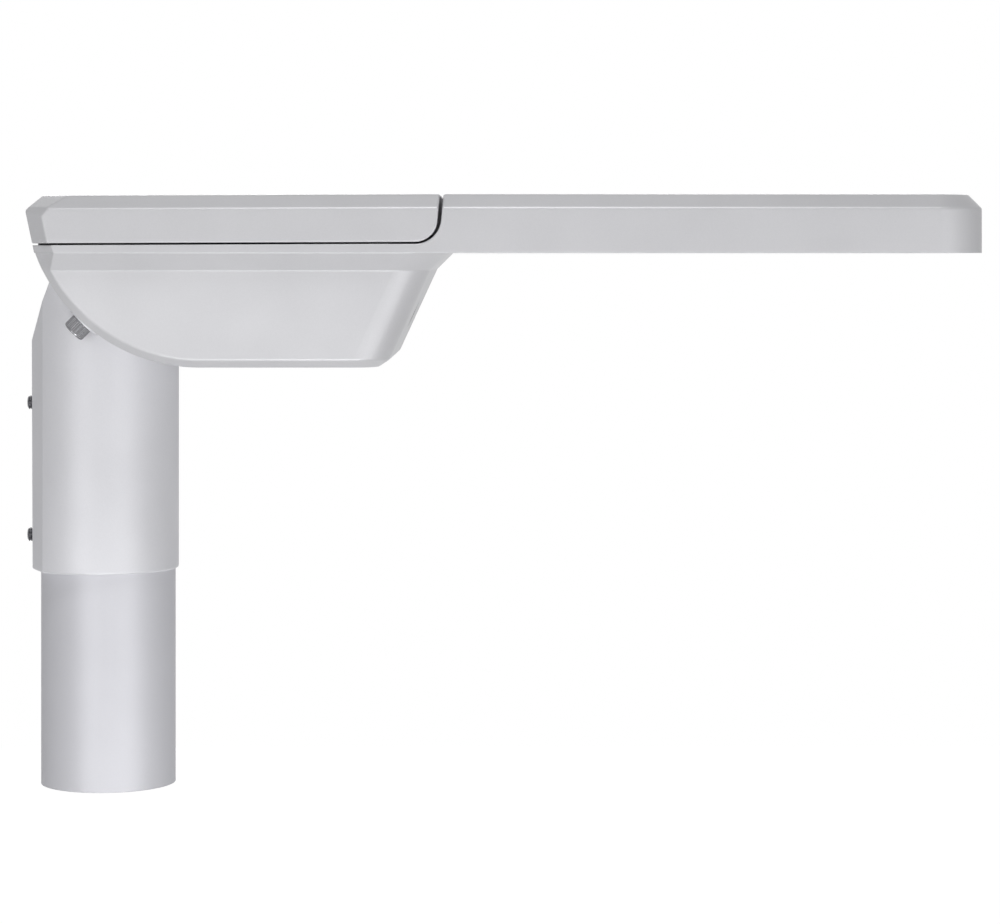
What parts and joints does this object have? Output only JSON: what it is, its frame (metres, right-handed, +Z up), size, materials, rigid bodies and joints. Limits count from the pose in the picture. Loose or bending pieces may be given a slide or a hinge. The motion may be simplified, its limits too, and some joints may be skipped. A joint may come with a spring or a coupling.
{
  "type": "led street light",
  "caption": "Flat LED street light head with a hinged gear cover and glazed LED window, on a tilting spigot clamped to a round mast stub.",
  "frame": {"origin": "centre of the mast stub's cut lower end", "axes": "+Z up along the mast, +X along the light towards its tip, +Y across it"},
  "size_m": [0.5278, 0.2372, 0.332],
  "materials": {
    "coated_casting": "satin fine-texture powder coat, light grey",
    "coated_mast": "satin coat, light grey",
    "stainless": "satin",
    "zinc_sheet": "galvanised",
    "black_silicone": "matte",
    "clear_glass": "clear",
    "clear_acrylic": "clear",
    "white_board": "white solder mask",
    "led_phosphor": "yellow phosphor",
    "white_case": "fine grained",
    "dark_case": "fine grained",
    "grey_moulding": "fine grained",
    "black_moulding": "fine grained",
    "brass_part": "bright",
    "brown_sleeve": "smooth",
    "blue_sleeve": "smooth",
    "green_sleeve": "smooth",
    "red_sleeve": "smooth",
    "black_sleeve": "smooth"
  },
  "bodies": {
    "mast": {"mast_stub": "coated_mast"},
    "arm": {"spigot": "coated_casting", "clamp_screws": "stainless", "tilt_bolts": "stainless", "t_nuts": "stainless"},
    "head": {"housing": "coated_casting", "hinge_pins": "stainless", "lid_gasket": "black_silicone", "latch_keeper": "stainless", "glass_cover": "clear_glass", "glass_gasket": "black_silicone", "glass_clips": "stainless", "clip_screws": "stainless", "led_board": "white_board", "led_packages": "led_phosphor", "lens_array": "clear_acrylic", "lens_screws": "stainless", "led_connector": "white_case", "gear_tray": "zinc_sheet", "tray_screws": "stainless", "driver": "white_case", "driver_screws": "stainless", "surge_protector": "dark_case", "surge_screws": "stainless", "terminal_block": "grey_moulding", "terminal_screws": "stainless", "cord_grip": "black_moulding", "cord_grip_screws": "stainless", "earth_screw": "brass_part", "cable_gland": "black_moulding", "gland_locknut": "black_moulding", "breather_vent": "black_moulding", "lead_seal": "black_silicone", "lead_live": "brown_sleeve", "lead_neutral": "blue_sleeve", "lead_earth": "green_sleeve", "lead_led_minus": "black_sleeve", "lead_led_plus": "red_sleeve"},
    "cover": {"lid": "coated_casting", "latch_spring": "stainless", "latch_screws": "stainless"},
    "button": {"release_button": "coated_casting"}
  },
  "joints": [
    {"name": "mast_swivel", "type": "hinge", "parent": "mast", "child": "arm", "pos_m": [0, 0, 0.1217], "axis": [0, 0, 1], "range_deg": [-180, 180]},
    {"name": "head_tilt", "type": "hinge", "parent": "arm", "child": "head", "pos_m": [0.0616, 0, 0.3314], "axis": [0, -1, 0], "range_deg": [-10, 10]},
    {"name": "lid_hinge", "type": "hinge", "parent": "head", "child": "cover", "pos_m": [0.1822, 0, 0.3265], "axis": [0, 1, 0], "range_deg": [0, 88]},
    {"name": "release_press", "type": "slide", "parent": "cover", "child": "button", "axis": [1, 0, 0], "range_m": [0, 0.003], "stiffness_N_per_m": 600, "springref_m": -0.001, "deforming": ["latch_spring"]}
  ]
}
